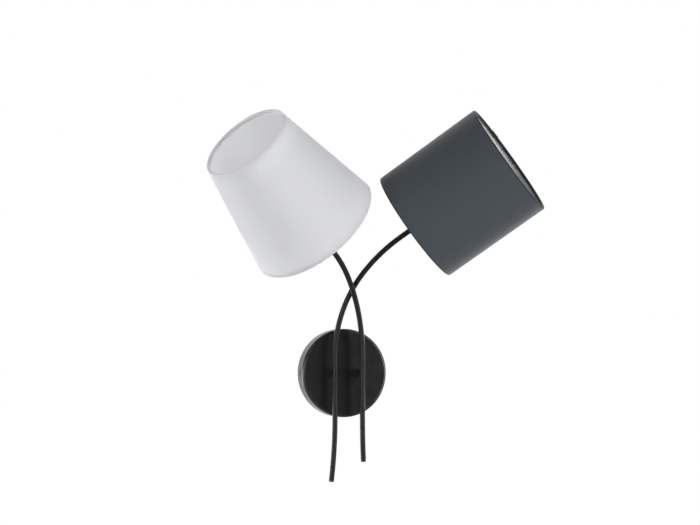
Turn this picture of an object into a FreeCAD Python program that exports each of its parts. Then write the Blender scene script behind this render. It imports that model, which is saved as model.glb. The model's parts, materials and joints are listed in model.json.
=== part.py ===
import FreeCAD, Part
import math
import os
from FreeCAD import Vector, Placement, Rotation

# Double arm wall sconce, all sizes in millimetres.
# Origin: middle of the canopy on the wall face. +Z up, +Y into the wall, +X to the right.
# The left lamp hangs on the arm that starts right of the middle and crosses in front.

# Fits that several pieces share, how far a cutter runs past what it cuts, and how near an
# edge must lie to the place where it is looked for
THREAD_CLEARANCE = 0.1
HOLE_CLEARANCE = 0.2
CUT_MARGIN = 2.0
EDGE_MATCH = 0.01

# Canopy
CANOPY_DIAMETER = 100.0
CANOPY_DEPTH = 19.3
CANOPY_WALL = 1.2
CANOPY_EDGE_RADIUS = 3.0
CANOPY_INNER_EDGE_LEAST = 0.2
STUB_SPACING = 30.8

# Side screws of the canopy
SIDE_SCREW_DIAMETER = 4.0
SIDE_SCREW_LENGTH = 9.0
SIDE_SCREW_HEAD_DIAMETER = 7.6
SIDE_SCREW_HEAD_HEIGHT = 2.0
SIDE_SCREW_SLOT_WIDTH = 1.0
SIDE_SCREW_SLOT_DEPTH = 0.8
SIDE_SCREW_CLEARANCE = 0.15
DIMPLE_WALL = 1.0

# Wall bracket
BRACKET_WIDTH = 18.0
BRACKET_THICKNESS = 1.5
BRACKET_END_LENGTH = 14.5
BRACKET_DIMPLE_GAP = 0.2
WALL_SLOT_PITCH = 58.0
WALL_SLOT_LENGTH = 12.0
WALL_SLOT_WIDTH = 4.6
TERMINAL_TONGUE_WIDTH = 20.0

# Terminal block with three poles
POLE_COUNT = 3
POLE_PITCH = 8.6
TERMINAL_WIDTH = 26.4
TERMINAL_HEIGHT = 16.0
TERMINAL_DEPTH = 12.0
TERMINAL_TOP_Z = -14.0
TERMINAL_EDGE_RADIUS = 0.8
POLE_SET_BACK = 1.0
INSERT_DIAMETER = 6.0
INSERT_BORE = 4.0
INSERT_SHORTFALL = 2.0
TERMINAL_SCREW_DIAMETER = 2.6
TERMINAL_SCREW_SPACING = 7.0
TERMINAL_SCREW_HEAD = 3.6
TERMINAL_SCREW_TIP = 0.1
TERMINAL_SCREW_RECESS = 1.2
TERMINAL_SLOT_WIDTH = 0.6
TERMINAL_SLOT_DEPTH = 0.5
RIVET_DIAMETER = 2.0
RIVET_HEAD_DIAMETER = 3.6
RIVET_HEAD_HEIGHT = 0.8

# Protective earth
EARTH_SCREW_DIAMETER = 4.0
EARTH_SCREW_HEAD = 7.0
EARTH_SCREW_HEAD_HEIGHT = 2.4
EARTH_SCREW_Z = 2.5
EARTH_SLOT_WIDTH = 1.0
EARTH_SLOT_DEPTH = 1.0
EARTH_WIRE_DIAMETER = 2.2
EARTH_WIRE_BEND = 2.4
EARTH_WIRE_IN_POLE = 6.0
EARTH_LOWER_BEND = 3.5
EARTH_UPPER_BEND = 7.5
EYELET_CLEARANCE = 0.1

# Stubs between canopy and arms
STUB_DIAMETER = 8.0
STUB_COLLAR_DIAMETER = 11.0
STUB_COLLAR_HEIGHT = 1.5
STUB_COLLAR_RADIUS = 0.5
STUB_BORE = 5.0
STUB_THREAD_LENGTH = 9.0
STUB_SADDLE_SHARE = 0.7
NUT_ACROSS_FLATS = 12.0
NUT_HEIGHT = 3.5
WASHER_DIAMETER = 13.6
WASHER_THICKNESS = 0.8

# Arms
ARM_DIAMETER = 6.0
ARM_WALL = 0.8
ARM_STRAIGHT_ABOVE = 19.0
ARM_STRAIGHT_BELOW = 50.0
ARM_LOWER_RADIUS = 600.0
ARM_SIDE_HOLE = 4.4
PLUG_HEAD_HEIGHT = 2.2
PLUG_SHANK_LENGTH = 8.0
PLUG_EDGE_RADIUS = 1.2
PLUG_CLEARANCE = 0.1

# Wires, from the poles through the stubs and arms to the lampholders
WIRE_DIAMETER = 1.6
WIRE_OFFSET = 0.9
WIRE_TURN_RADIUS = 2.0
WIRE_GAP_IN_POLE = 0.1
WIRE_IN_POLE = 5.0
WIRE_RISE = 3.0
WIRE_CROSSING_HEIGHT = 7.0
WIRE_CROSSING_STEP = 3.0
WIRE_BEFORE_STUB = 4.0
WIRE_ABOVE_BUSH = 2.0
WIRE_BELOW_CORE = 3.0

# Bush at the end of each arm
BUSH_SLEEVE_DIAMETER = 9.5
BUSH_SLEEVE_LENGTH = 9.0
BUSH_FLANGE_DIAMETER = 14.0
BUSH_FLANGE_HEIGHT = 2.0
BUSH_THREAD_DIAMETER = 10.0
BUSH_THREAD_LENGTH = 7.5
BUSH_BORE = 4.8

# Lampholder, heights along the lamp axis above the end of the arm
CAP_DIAMETER = 28.0
CAP_BASE_DIAMETER = 22.0
CAP_WALL = 1.6
CAP_CHAMFER = 2.1
CAP_FLOOR = 3.0
CAP_HEIGHT = 26.0
CAP_HUB_DIAMETER = 14.4
CAP_LEDGE_DEPTH = 8.1
CAP_LEDGE_WIDTH = 1.6
CORE_SEAT_GAP = 0.1
CORE_BASE_HEIGHT = 7.0
CORE_BASE_CLEARANCE = 0.8
CORE_TUBE_DIAMETER = 19.6
CORE_LENGTH = 41.0
SOCKET_BORE = 14.4
SOCKET_DEPTH = 28.0
SKIRT_DIAMETER = 28.0
SKIRT_WALL = 4.0
SKIRT_FLANGE_DIAMETER = 36.0
SKIRT_FLANGE_HEIGHT = 2.4
SKIRT_HEIGHT = 34.0
SKIRT_LIP = 0.8
SKIRT_LIP_BORE = 17.2
THREAD_PITCH = 2.0
THREAD_DEPTH = 0.6
THREAD_TURNS = 13
THREAD_ROOT_START = 0.3
THREAD_ROOT_END = 0.5
THREAD_CREST_START = 0.8
CONTACT_THICKNESS = 1.2
CONTACT_WIDTH = 3.0
CONTACT_REACH = 6.7
CONTACT_HEIGHT = 1.5
CONTACT_CLEARANCE = 0.05
CENTRE_CONTACT_HEAD = 5.6
CENTRE_CONTACT_HEAD_HEIGHT = 0.8
CENTRE_CONTACT_SINK = 0.4
CONTACT_WELL_CLEARANCE = 1.7
SIDE_CONTACT_LENGTH = 17.0
SIDE_CONTACT_THICKNESS = 1.0
SIDE_CONTACT_SET_BACK = 0.1
SIDE_CONTACT_FOOT_SHORTFALL = 1.2
WIRE_TERMINAL_OFFSET = 5.5

# Ring that clamps the shade
RING_BODY_DIAMETER = 34.0
RING_FLANGE_DIAMETER = 42.0
RING_FLANGE_HEIGHT = 2.0
RING_HEIGHT = 9.0
RING_THREAD_CLEARANCE = 0.2
RING_RIB_COUNT = 12
RING_RIB_WIDTH = 3.0
RING_RIB_PROUD = 1.0
RING_RIB_SHORTFALL = 1.0

# Shade frame
FITTER_BORE_CLEARANCE = 0.4
FITTER_DIAMETER = 43.0
FITTER_THICKNESS = 1.2
FITTER_GAP = 0.3
SPOKE_COUNT = 3
SPOKE_DIAMETER = 2.0
SPOKE_ROOT_IN = 0.6
SPOKE_SEAT_IN = 0.25
SPOKE_SEAT_RISE = 0.05
RIM_WIRE_CLEARANCE = 0.3

# Shade covers
COVER_THICKNESS = 0.5
HEM_DIAMETER = 3.2
LINING_THICKNESS = 0.4
LINING_GAP = 0.05
LINING_HEM_GAP = 0.4
SHADE_BELOW_ARM_END = 8.0

# Each lamp. stub_side and lamp_side: the sides where its arm starts and ends, 1 for right.
# stand_off: from the canopy face to the arm's axis. lower_end: how far the arm reaches down.
# bend_plane_angle and end_plane_angle: how many degrees the bend and the lamp axis point away
# from the wall. first and second: the two bends. end_rise_angle and end_straight: how the arm
# leaves them for the lamp.
LAMPS = {
    "left": {
        "stub_side": 1, "lamp_side": -1, "stand_off": 16.5, "lower_end": 97.3,
        "bend_plane_angle": 39.5, "first_radius": 142.0, "first_angle": 40.5,
        "second_radius": 150.0, "end_plane_angle": 25.5, "end_rise_angle": 40.9,
        "end_straight": 44.0,
        "base_diameter": 150.2, "top_diameter": 100.2, "shade_length": 132.5,
    },
    "right": {
        "stub_side": -1, "lamp_side": 1, "stand_off": 11.5, "lower_end": 119.3,
        "bend_plane_angle": 31.4, "first_radius": 150.0, "first_angle": 40.3,
        "second_radius": 200.0, "end_plane_angle": 31.4, "end_rise_angle": 34.5,
        "end_straight": 28.3,
        "base_diameter": 132.7, "top_diameter": 133.7, "shade_length": 129.5,
    },
}

# Values that follow from the sizes above
UP = Vector(0, 0, 1)
RIGHT = Vector(1, 0, 0)
OUT = Vector(0, -1, 0)
CANOPY_INNER_RADIUS = CANOPY_DIAMETER / 2 - CANOPY_WALL
SIDE_SCREW_Y = -CANOPY_DEPTH / 2
SIDE_SCREW_SEAT = CANOPY_DIAMETER / 2 - SIDE_SCREW_HEAD_HEIGHT
BRACKET_HALF_LENGTH = SIDE_SCREW_SEAT - DIMPLE_WALL - BRACKET_DIMPLE_GAP
TERMINAL_BACK_Y = -BRACKET_THICKNESS
TERMINAL_FRONT_Y = TERMINAL_BACK_Y - TERMINAL_DEPTH
TERMINAL_AXIS_Y = TERMINAL_BACK_Y - TERMINAL_DEPTH / 2 + POLE_SET_BACK
TERMINAL_BOTTOM_Z = TERMINAL_TOP_Z - TERMINAL_HEIGHT
TERMINAL_MIDDLE_Z = TERMINAL_TOP_Z - TERMINAL_HEIGHT / 2
ARM_BORE = ARM_DIAMETER - 2 * ARM_WALL
CAP_BOTTOM = BUSH_FLANGE_HEIGHT
CAP_TOP = CAP_BOTTOM + CAP_HEIGHT
CORE_BOTTOM = CAP_TOP - CAP_LEDGE_DEPTH + CORE_SEAT_GAP
CORE_TOP = CORE_BOTTOM + CORE_LENGTH
SOCKET_FLOOR = CORE_TOP - SOCKET_DEPTH
SKIRT_TOP = CAP_TOP + SKIRT_HEIGHT
FLANGE_TOP = CAP_TOP + SKIRT_FLANGE_HEIGHT
FITTER_BOTTOM = FLANGE_TOP + FITTER_GAP
FITTER_TOP = FITTER_BOTTOM + FITTER_THICKNESS
RING_BOTTOM = FITTER_TOP + FITTER_GAP
RIM_WIRE_DIAMETER = HEM_DIAMETER - 2 * COVER_THICKNESS - 2 * RIM_WIRE_CLEARANCE
CONTACT_LEVEL = CORE_BOTTOM + CONTACT_HEIGHT
CONTACT_WELL_DIAMETER = CENTRE_CONTACT_HEAD + 2 * CONTACT_WELL_CLEARANCE
CONTACT_WELL_FLOOR = SOCKET_FLOOR - CENTRE_CONTACT_HEAD_HEIGHT - CENTRE_CONTACT_SINK


def direction(side, plane, rise):
    """Unit vector that leaves the wall by plane degrees and climbs by rise degrees."""
    plane = math.radians(plane)
    rise = math.radians(rise)
    level = math.cos(rise)
    return Vector(side * level * math.cos(plane), -level * math.sin(plane), math.sin(rise))


def turned(points):
    """Solid of revolution about Z from (radius, height) corners."""
    corners = [Vector(radius, 0, height) for radius, height in points]
    face = Part.Face(Part.makePolygon(corners + corners[:1]))
    return face.revolve(Vector(0, 0, 0), UP, 360)


def cylinder(diameter, length, start, axis):
    return Part.makeCylinder(diameter / 2, length, start, axis)


def block(size_x, size_y, size_z, centre):
    corner = centre - Vector(size_x / 2, size_y / 2, size_z / 2)
    return Part.makeBox(size_x, size_y, size_z, corner)


def joined(shapes):
    return shapes[0].multiFuse(shapes[1:]).removeSplitter()


def rotated(point, pivot, axis, angle):
    return Rotation(axis, math.degrees(angle)).multVec(point - pivot) + pivot


class BendRoute:
    """Centre line of a bent tube: straight feeds and bends, as on a tube bender."""

    def __init__(self, start, heading, side):
        self.start = start
        self.side = side
        self.first_heading = heading
        self.point = start
        self.heading = heading
        self.steps = []

    def feed(self, length):
        self.steps.append(("feed", self.heading * length))
        self.point = self.point + self.heading * length

    def bend(self, radius, angle, towards):
        """Bend by angle (radians) to the side that the vector towards names."""
        inward = towards - self.heading * towards.dot(self.heading)
        inward.normalize()
        pivot = self.point + inward * radius
        axis = self.heading.cross(inward)
        self.steps.append(("bend", pivot, axis, angle))
        self.point = rotated(self.point, pivot, axis, angle)
        self.heading = Rotation(axis, math.degrees(angle)).multVec(self.heading)

    def bend_to(self, radius, heading):
        self.bend(radius, self.heading.getAngle(heading), heading)

    def trace(self, offset=0.0):
        """Edges of the line that runs beside the centre line, at an offset along side."""
        point = self.start + self.side * offset
        edges = []
        for step in self.steps:
            if step[0] == "feed":
                end = point + step[1]
                edges.append(Part.LineSegment(point, end).toShape())
            else:
                pivot, axis, angle = step[1:]
                middle = rotated(point, pivot, axis, angle / 2)
                end = rotated(point, pivot, axis, angle)
                edges.append(Part.Arc(point, middle, end).toShape())
            point = end
        return edges, point

    def end_side(self):
        """The side vector carried to the end of the route."""
        side = self.side
        for step in self.steps:
            if step[0] == "bend":
                side = Rotation(step[2], math.degrees(step[3])).multVec(side)
        return side

    def length(self):
        return sum(edge.Length for edge in self.trace()[0])


def rounded_path(points, radius):
    """Straight runs through the points, with a tangent arc at each inner point."""
    edges = []
    start = points[0]
    for before, corner, after in zip(points, points[1:], points[2:]):
        incoming = (corner - before).normalize()
        outgoing = (after - corner).normalize()
        turn = incoming.getAngle(outgoing)
        reach = radius * math.tan(turn / 2)
        arc_start = corner - incoming * reach
        arc_end = corner + outgoing * reach
        inward = (outgoing - incoming).normalize()
        middle = corner + inward * (radius / math.cos(turn / 2) - radius)
        edges.append(Part.LineSegment(start, arc_start).toShape())
        edges.append(Part.Arc(arc_start, middle, arc_end).toShape())
        start = arc_end
    edges.append(Part.LineSegment(start, points[-1]).toShape())
    return edges


def swept(edges, diameter):
    """Round bar along tangent edges."""
    path = Part.Wire(edges)
    start = edges[0].valueAt(edges[0].FirstParameter)
    heading = edges[0].tangentAt(edges[0].FirstParameter)
    profile = Part.Wire(Part.makeCircle(diameter / 2, start, heading))
    return path.makePipeShell([profile], True, False)


def stub_x(lamp):
    return lamp["stub_side"] * STUB_SPACING / 2


def arm_y(lamp):
    return -CANOPY_DEPTH - lamp["stand_off"]


def upper_route(lamp, route):
    """Adds the bends from the straight middle of the arm to the lampholder."""
    first = direction(lamp["lamp_side"], lamp["bend_plane_angle"], 0)
    last = direction(lamp["lamp_side"], lamp["end_plane_angle"], lamp["end_rise_angle"])
    route.feed(ARM_STRAIGHT_ABOVE)
    route.bend(lamp["first_radius"], math.radians(lamp["first_angle"]), first)
    route.bend_to(lamp["second_radius"], last)
    route.feed(lamp["end_straight"])
    return route


def arm_route(lamp):
    """Centre line of the arm, from its lower end to the bush."""
    outward = direction(-lamp["lamp_side"], -lamp["bend_plane_angle"], 0)
    bend_height = lamp["lower_end"] - ARM_STRAIGHT_BELOW
    angle = math.asin(bend_height / ARM_LOWER_RADIUS)
    drift = ARM_LOWER_RADIUS * (1 - math.cos(angle))
    start = Vector(stub_x(lamp), arm_y(lamp), -lamp["lower_end"]) + outward * drift
    heading = UP * math.cos(angle) - outward * math.sin(angle)
    route = BendRoute(start, heading, RIGHT)
    route.bend(ARM_LOWER_RADIUS, angle, outward)
    route.feed(ARM_STRAIGHT_BELOW)
    return upper_route(lamp, route)


def wire_route(lamp):
    """Centre line between the two wires, from the stub's thread to the bush."""
    start = Vector(stub_x(lamp), -CANOPY_DEPTH + STUB_THREAD_LENGTH, 0)
    route = BendRoute(start, OUT, RIGHT)
    route.feed(start.y - arm_y(lamp) - WIRE_TURN_RADIUS)
    route.bend(WIRE_TURN_RADIUS, math.pi / 2, UP)
    route.feed(-WIRE_TURN_RADIUS)
    return upper_route(lamp, route)


def lamp_placement(lamp):
    """Turns a piece drawn about Z into the lamp's place, with Z along the lamp axis."""
    route = arm_route(lamp)
    side = wire_route(lamp).end_side()
    across = route.heading.cross(side)
    return Placement(route.point, Rotation(side, across, route.heading, "ZXY"))


def side_screw_cone(side, extra):
    seat = side * (CANOPY_DIAMETER / 2 + extra)
    head = SIDE_SCREW_HEAD_DIAMETER / 2 + extra
    shank = SIDE_SCREW_DIAMETER / 2 + extra
    height = SIDE_SCREW_HEAD_HEIGHT + extra
    return Part.makeCone(head, shank, height, Vector(seat, SIDE_SCREW_Y, 0), RIGHT * -side)


def round_edges(shape, level_y, least_diameter=0.0):
    """Full circles of a shape in the plane y = level_y, wider than a diameter."""
    return [edge for edge in shape.Edges
            if edge.Closed and abs(edge.CenterOfMass.y - level_y) < EDGE_MATCH
            and edge.BoundBox.XLength > least_diameter]


def canopy():
    outer = cylinder(CANOPY_DIAMETER, CANOPY_DEPTH, Vector(0, 0, 0), OUT)
    outer = outer.makeFillet(CANOPY_EDGE_RADIUS, round_edges(outer, -CANOPY_DEPTH))
    depth = CANOPY_DEPTH - CANOPY_WALL
    inner = cylinder(2 * CANOPY_INNER_RADIUS, depth, Vector(0, 0, 0), OUT)
    inner_radius = max(CANOPY_EDGE_RADIUS - CANOPY_WALL, CANOPY_INNER_EDGE_LEAST)
    inner = inner.makeFillet(inner_radius, round_edges(inner, -depth))
    shell = outer.cut(inner)
    for side in (-1, 1):
        dimple = side_screw_cone(side, DIMPLE_WALL).common(outer)
        shell = shell.fuse(dimple)
    holes = []
    for side in (-1, 1):
        holes.append(side_screw_cone(side, SIDE_SCREW_CLEARANCE))
        start = Vector(side * CANOPY_DIAMETER / 2, SIDE_SCREW_Y, 0)
        bore = SIDE_SCREW_DIAMETER + 2 * SIDE_SCREW_CLEARANCE
        holes.append(cylinder(bore, SIDE_SCREW_LENGTH, start, RIGHT * -side))
        start = Vector(side * STUB_SPACING / 2, 0, 0)
        holes.append(cylinder(STUB_DIAMETER, CANOPY_DEPTH, start, OUT))
    return shell.cut(joined(holes)).removeSplitter()


def side_screw(side):
    head = side_screw_cone(side, 0)
    start = Vector(side * CANOPY_DIAMETER / 2, SIDE_SCREW_Y, 0)
    shank = cylinder(SIDE_SCREW_DIAMETER, SIDE_SCREW_LENGTH, start, RIGHT * -side)
    rim = CANOPY_DIAMETER - SIDE_SCREW_SLOT_DEPTH
    slot = block(SIDE_SCREW_SLOT_DEPTH, SIDE_SCREW_SLOT_WIDTH, SIDE_SCREW_HEAD_DIAMETER * 2,
                 Vector(side * rim / 2, SIDE_SCREW_Y, 0))
    return joined([head, shank]).cut(slot)


def strap_hole(diameter, x, z):
    length = BRACKET_THICKNESS + 2 * CUT_MARGIN
    return cylinder(diameter, length, Vector(x, CUT_MARGIN, z), OUT)


def slot_cutter(centre_x):
    """Cutter for a wall slot: a long hole with round ends."""
    half = (WALL_SLOT_LENGTH - WALL_SLOT_WIDTH) / 2
    depth = BRACKET_THICKNESS + 2 * CUT_MARGIN
    middle = block(2 * half, depth, WALL_SLOT_WIDTH, Vector(centre_x, -BRACKET_THICKNESS / 2, 0))
    ends = [strap_hole(WALL_SLOT_WIDTH, centre_x + side * half, 0) for side in (-1, 1)]
    return joined([middle] + ends)


def wall_bracket():
    back = -BRACKET_THICKNESS / 2
    strap = block(2 * BRACKET_HALF_LENGTH, BRACKET_THICKNESS, BRACKET_WIDTH, Vector(0, back, 0))
    pieces = [strap]
    for side in (-1, 1):
        end_x = side * (BRACKET_HALF_LENGTH - BRACKET_THICKNESS / 2)
        centre = Vector(end_x, -BRACKET_END_LENGTH / 2, 0)
        pieces.append(block(BRACKET_THICKNESS, BRACKET_END_LENGTH, BRACKET_WIDTH, centre))
    tongue_height = BRACKET_WIDTH / 2 - TERMINAL_BOTTOM_Z
    centre = Vector(0, back, BRACKET_WIDTH / 2 - tongue_height / 2)
    pieces.append(block(TERMINAL_TONGUE_WIDTH, BRACKET_THICKNESS, tongue_height, centre))
    cutters = [slot_cutter(side * WALL_SLOT_PITCH / 2) for side in (-1, 1)]
    cutters.append(strap_hole(EARTH_SCREW_DIAMETER, 0, EARTH_SCREW_Z))
    for x, z in rivet_places():
        cutters.append(strap_hole(RIVET_DIAMETER, x, z))
    screw_hole = SIDE_SCREW_DIAMETER + THREAD_CLEARANCE
    for side in (-1, 1):
        start = Vector(side * CANOPY_DIAMETER / 2, SIDE_SCREW_Y, 0)
        cutters.append(cylinder(screw_hole, SIDE_SCREW_LENGTH, start, RIGHT * -side))
    return joined(pieces).cut(joined(cutters))


def pole_x(pole):
    return (pole - (POLE_COUNT - 1) / 2) * POLE_PITCH


def rivet_places():
    """Middle of each wall between two poles."""
    return [(pole_x(pole) + POLE_PITCH / 2, TERMINAL_MIDDLE_Z) for pole in range(POLE_COUNT - 1)]


def screw_places():
    """Two clamping screws for each pole."""
    return [(pole_x(pole), TERMINAL_MIDDLE_Z + side * TERMINAL_SCREW_SPACING / 2)
            for pole in range(POLE_COUNT) for side in (-1, 1)]


def terminal_block():
    middle_y = (TERMINAL_BACK_Y + TERMINAL_FRONT_Y) / 2
    body = block(TERMINAL_WIDTH, TERMINAL_DEPTH, TERMINAL_HEIGHT,
                 Vector(0, middle_y, TERMINAL_MIDDLE_Z))
    upright = [edge for edge in body.Edges if edge.BoundBox.ZLength > TERMINAL_HEIGHT - EDGE_MATCH]
    body = body.makeFillet(TERMINAL_EDGE_RADIUS, upright)
    cutters = []
    for pole in range(POLE_COUNT):
        start = Vector(pole_x(pole), TERMINAL_AXIS_Y, TERMINAL_BOTTOM_Z - CUT_MARGIN)
        cutters.append(cylinder(INSERT_DIAMETER, TERMINAL_HEIGHT + 2 * CUT_MARGIN, start, UP))
    depth = TERMINAL_AXIS_Y - TERMINAL_FRONT_Y
    for x, z in screw_places():
        start = Vector(x, TERMINAL_FRONT_Y, z)
        cutters.append(cylinder(TERMINAL_SCREW_HEAD + HOLE_CLEARANCE, depth, start, -OUT))
    for x, z in rivet_places():
        start = Vector(x, TERMINAL_BACK_Y + CUT_MARGIN, z)
        cutters.append(cylinder(RIVET_DIAMETER, TERMINAL_DEPTH + 2 * CUT_MARGIN, start, OUT))
    return body.cut(joined(cutters))


def terminal_inserts():
    inserts = []
    length = TERMINAL_HEIGHT - INSERT_SHORTFALL
    for pole in range(POLE_COUNT):
        start = Vector(pole_x(pole), TERMINAL_AXIS_Y, TERMINAL_MIDDLE_Z - length / 2)
        tube = cylinder(INSERT_DIAMETER, length, start, UP).cut(
            cylinder(INSERT_BORE, length, start, UP))
        for x, z in screw_places():
            centre = Vector(x, TERMINAL_AXIS_Y, z)
            tube = tube.cut(cylinder(TERMINAL_SCREW_DIAMETER, INSERT_DIAMETER, centre, OUT))
        inserts.append(tube)
    return Part.makeCompound(inserts)


def terminal_screws():
    """Grub screws that stand on the inserts, each with its tip just inside the bore."""
    screws = []
    tip_y = TERMINAL_AXIS_Y - INSERT_BORE / 2 + TERMINAL_SCREW_TIP
    head_y = TERMINAL_AXIS_Y - INSERT_DIAMETER / 2
    head_length = head_y - TERMINAL_FRONT_Y - TERMINAL_SCREW_RECESS
    for x, z in screw_places():
        shank_length = tip_y - head_y + head_length / 2
        shank = cylinder(TERMINAL_SCREW_DIAMETER, shank_length, Vector(x, tip_y, z), OUT)
        head = cylinder(TERMINAL_SCREW_HEAD, head_length, Vector(x, head_y, z), OUT)
        slot = block(TERMINAL_SLOT_WIDTH, 2 * TERMINAL_SLOT_DEPTH, TERMINAL_SCREW_HEAD + CUT_MARGIN,
                     Vector(x, head_y - head_length, z))
        screws.append(joined([shank, head]).cut(slot))
    return Part.makeCompound(screws)


def terminal_rivets():
    rivets = []
    for x, z in rivet_places():
        length = BRACKET_THICKNESS + TERMINAL_DEPTH
        shank = cylinder(RIVET_DIAMETER, length, Vector(x, 0, z), OUT)
        head = cylinder(RIVET_HEAD_DIAMETER, RIVET_HEAD_HEIGHT, Vector(x, TERMINAL_FRONT_Y, z), OUT)
        rivets.append(joined([shank, head]))
    return Part.makeCompound(rivets)


def earth_screw():
    washer_y = -BRACKET_THICKNESS - EARTH_WIRE_DIAMETER
    shank = cylinder(EARTH_SCREW_DIAMETER, -washer_y, Vector(0, 0, EARTH_SCREW_Z), OUT)
    head = cylinder(EARTH_SCREW_HEAD, EARTH_SCREW_HEAD_HEIGHT, Vector(0, washer_y, EARTH_SCREW_Z),
                    OUT)
    slot = block(EARTH_SLOT_WIDTH, 2 * EARTH_SLOT_DEPTH, EARTH_SCREW_HEAD + CUT_MARGIN,
                 Vector(0, washer_y - EARTH_SCREW_HEAD_HEIGHT, EARTH_SCREW_Z))
    return joined([shank, head]).cut(slot)


def earth_wire():
    """From the middle pole up to the eyelet round the earth screw."""
    level_y = -BRACKET_THICKNESS - EARTH_WIRE_DIAMETER / 2
    eyelet_radius = (EARTH_SCREW_DIAMETER + EARTH_WIRE_DIAMETER) / 2 + EYELET_CLEARANCE
    eyelet_bottom = EARTH_SCREW_Z - eyelet_radius
    points = [
        Vector(0, TERMINAL_AXIS_Y, TERMINAL_TOP_Z - EARTH_WIRE_IN_POLE),
        Vector(0, TERMINAL_AXIS_Y, TERMINAL_TOP_Z + EARTH_LOWER_BEND),
        Vector(0, level_y, TERMINAL_TOP_Z + EARTH_UPPER_BEND),
        Vector(0, level_y, eyelet_bottom),
    ]
    lead = swept(rounded_path(points, EARTH_WIRE_BEND), EARTH_WIRE_DIAMETER)
    eyelet = Part.makeTorus(eyelet_radius, EARTH_WIRE_DIAMETER / 2, Vector(0, level_y, EARTH_SCREW_Z),
                            OUT)
    return joined([lead, eyelet])


def stub(lamp):
    start = Vector(stub_x(lamp), -CANOPY_DEPTH, 0)
    saddle = ARM_DIAMETER / 2 * STUB_SADDLE_SHARE
    pieces = [
        cylinder(STUB_DIAMETER, lamp["stand_off"] - saddle, start, OUT),
        cylinder(STUB_COLLAR_DIAMETER, STUB_COLLAR_HEIGHT, start, OUT),
        cylinder(STUB_DIAMETER - THREAD_CLEARANCE, STUB_THREAD_LENGTH, start, -OUT),
    ]
    collar_front = -CANOPY_DEPTH - STUB_COLLAR_HEIGHT
    body = joined(pieces)
    rim = round_edges(body, collar_front, (STUB_DIAMETER + STUB_COLLAR_DIAMETER) / 2)
    body = body.makeFillet(STUB_COLLAR_RADIUS, rim)
    whole = lamp["stand_off"] + STUB_THREAD_LENGTH + CUT_MARGIN
    bore = cylinder(STUB_BORE, whole, start - OUT * (STUB_THREAD_LENGTH + CUT_MARGIN), OUT)
    foot = Vector(stub_x(lamp), arm_y(lamp), -STUB_DIAMETER)
    saddle_cutter = cylinder(ARM_DIAMETER, 2 * STUB_DIAMETER, foot, UP)
    return body.cut(joined([bore, saddle_cutter]))


def stub_nuts():
    nuts = []
    for side in (-1, 1):
        start = Vector(side * STUB_SPACING / 2, -CANOPY_DEPTH + CANOPY_WALL + WASHER_THICKNESS, 0)
        corner = NUT_ACROSS_FLATS / math.sqrt(3)
        corners = [start + Vector(corner * math.cos(math.pi * step / 3), 0,
                                  corner * math.sin(math.pi * step / 3)) for step in range(7)]
        prism = Part.Face(Part.makePolygon(corners)).extrude(-OUT * NUT_HEIGHT)
        nuts.append(prism.cut(cylinder(STUB_DIAMETER, NUT_HEIGHT, start, -OUT)))
    return Part.makeCompound(nuts)


def stub_washers():
    washers = []
    hole = STUB_DIAMETER + HOLE_CLEARANCE
    for side in (-1, 1):
        start = Vector(side * STUB_SPACING / 2, -CANOPY_DEPTH + CANOPY_WALL, 0)
        disc = cylinder(WASHER_DIAMETER, WASHER_THICKNESS, start, -OUT)
        washers.append(disc.cut(cylinder(hole, WASHER_THICKNESS, start, -OUT)))
    return Part.makeCompound(washers)


def arm(lamp):
    """Bent tube with a side hole where the wires come in through the stub."""
    edges = arm_route(lamp).trace()[0]
    tube = swept(edges, ARM_DIAMETER).cut(swept(edges, ARM_BORE))
    start = Vector(stub_x(lamp), arm_y(lamp), 0)
    return tube.cut(cylinder(ARM_SIDE_HOLE, ARM_DIAMETER, start, -OUT))


def arm_plug(lamp):
    """Rounded plug, drawn head down and turned to the tube's lower end."""
    radius = ARM_DIAMETER / 2
    shank = ARM_BORE / 2 - PLUG_CLEARANCE
    edge = PLUG_EDGE_RADIUS
    middle = edge * math.sqrt(0.5)
    outline = [
        Part.LineSegment(Vector(0, 0, PLUG_SHANK_LENGTH), Vector(shank, 0, PLUG_SHANK_LENGTH)),
        Part.LineSegment(Vector(shank, 0, PLUG_SHANK_LENGTH), Vector(shank, 0, 0)),
        Part.LineSegment(Vector(shank, 0, 0), Vector(radius, 0, 0)),
        Part.LineSegment(Vector(radius, 0, 0), Vector(radius, 0, edge - PLUG_HEAD_HEIGHT)),
        Part.Arc(Vector(radius, 0, edge - PLUG_HEAD_HEIGHT),
                 Vector(radius - edge + middle, 0, edge - PLUG_HEAD_HEIGHT - middle),
                 Vector(radius - edge, 0, -PLUG_HEAD_HEIGHT)),
        Part.LineSegment(Vector(radius - edge, 0, -PLUG_HEAD_HEIGHT), Vector(0, 0, -PLUG_HEAD_HEIGHT)),
        Part.LineSegment(Vector(0, 0, -PLUG_HEAD_HEIGHT), Vector(0, 0, PLUG_SHANK_LENGTH)),
    ]
    face = Part.Face(Part.Wire([piece.toShape() for piece in outline]))
    plug = face.revolve(Vector(0, 0, 0), UP, 360)
    route = arm_route(lamp)
    plug.Placement = Placement(route.start, Rotation(UP, route.first_heading))
    return plug


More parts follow.
